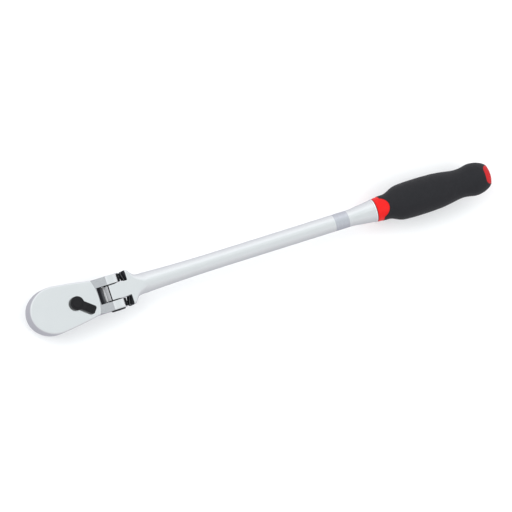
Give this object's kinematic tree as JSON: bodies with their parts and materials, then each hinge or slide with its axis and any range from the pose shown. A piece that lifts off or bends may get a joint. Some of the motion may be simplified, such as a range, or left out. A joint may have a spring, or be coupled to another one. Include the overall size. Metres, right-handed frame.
{
  "type": "ratchet wrench",
  "caption": "Long-handled flex-head ratchet wrench with a half-inch square drive, reversing lever, swivelling head and a soft two-colour grip.",
  "frame": {"origin": "on the drive axis, at the end face of the square drive", "axes": "+X along the handle towards the grip, +Z along the drive axis towards the side with the reversing lever"},
  "size_m": [0.4585, 0.0432, 0.0438],
  "materials": {
    "polished_chrome": "polished, lightly satin chrome plate",
    "shank_chrome": "chrome plate with one brushed band",
    "satin_steel": "satin",
    "drive_steel": "ground steel",
    "ball_steel": "polished",
    "spring_steel": "drawn wire",
    "black_oxide": "black oxide",
    "lever_black": "satin black",
    "seal_rubber": "matte",
    "grip_red": "satin moulded plastic",
    "grip_black": "soft matte overmould with fine stipple"
  },
  "bodies": {
    "handle": {"handle_shank": "shank_chrome", "grip_core": "grip_red", "grip_sleeve": "grip_black", "end_cap": "grip_red"},
    "head": {"head_housing": "polished_chrome", "cover_plate": "satin_steel", "cover_screws": "black_oxide", "drag_washer": "spring_steel", "pawl_pin": "ball_steel", "lever_o_ring": "seal_rubber", "hinge_screw": "black_oxide", "hinge_washers": "black_oxide", "flex_spring": "spring_steel"},
    "drive": {"drive_gear": "drive_steel", "detent_spring": "spring_steel"},
    "ball": {"detent_ball": "ball_steel"},
    "pawl": {"pawl": "drive_steel"},
    "lever": {"reversing_lever": "lever_black", "lever_spindle": "drive_steel", "pawl_spring": "spring_steel"},
    "lever_plunger": {"pawl_plunger": "ball_steel"},
    "flex_detent": {"flex_plunger": "ball_steel"}
  },
  "joints": [
    {"name": "head_flex", "type": "hinge", "parent": "handle", "child": "head", "pos_m": [0.0622, 0, 0.027], "axis": [0, 1, 0], "range_deg": [-90, 90]},
    {"name": "drive_spin", "type": "hinge", "parent": "head", "child": "drive", "pos_m": [0, 0, 0.027], "axis": [0, 0, 1], "continuous": true},
    {"name": "ball_press", "type": "slide", "parent": "drive", "child": "ball", "axis": [1, 0, 0], "range_m": [0, 0.0009], "stiffness_N_per_m": 600, "springref_m": -0.002, "deforming": ["detent_spring"]},
    {"name": "lever_swing", "type": "hinge", "parent": "head", "child": "lever", "pos_m": [0.0231, 0, 0.027], "axis": [0, 0, 1], "range_deg": [0, 76]},
    {"name": "pawl_rock", "type": "hinge", "parent": "head", "child": "pawl", "pos_m": [0.0158, 0, 0.025], "axis": [0, 0, 1], "range_deg": [-5.6, 0]},
    {"name": "plunger_press", "type": "slide", "parent": "lever", "child": "lever_plunger", "axis": [0.788, -0.6157, 0], "range_m": [0, 0.0005], "stiffness_N_per_m": 400, "springref_m": -0.001, "deforming": ["pawl_spring"]},
    {"name": "flex_detent_press", "type": "slide", "parent": "head", "child": "flex_detent", "axis": [-1, 0, 0], "range_m": [0, 0.001], "stiffness_N_per_m": 1500, "springref_m": -0.002, "deforming": ["flex_spring"]}
  ],
  "couplings": [
    {"joint": "pawl_rock", "follows": "lever_swing", "ratio": -0.0736}
  ]
}
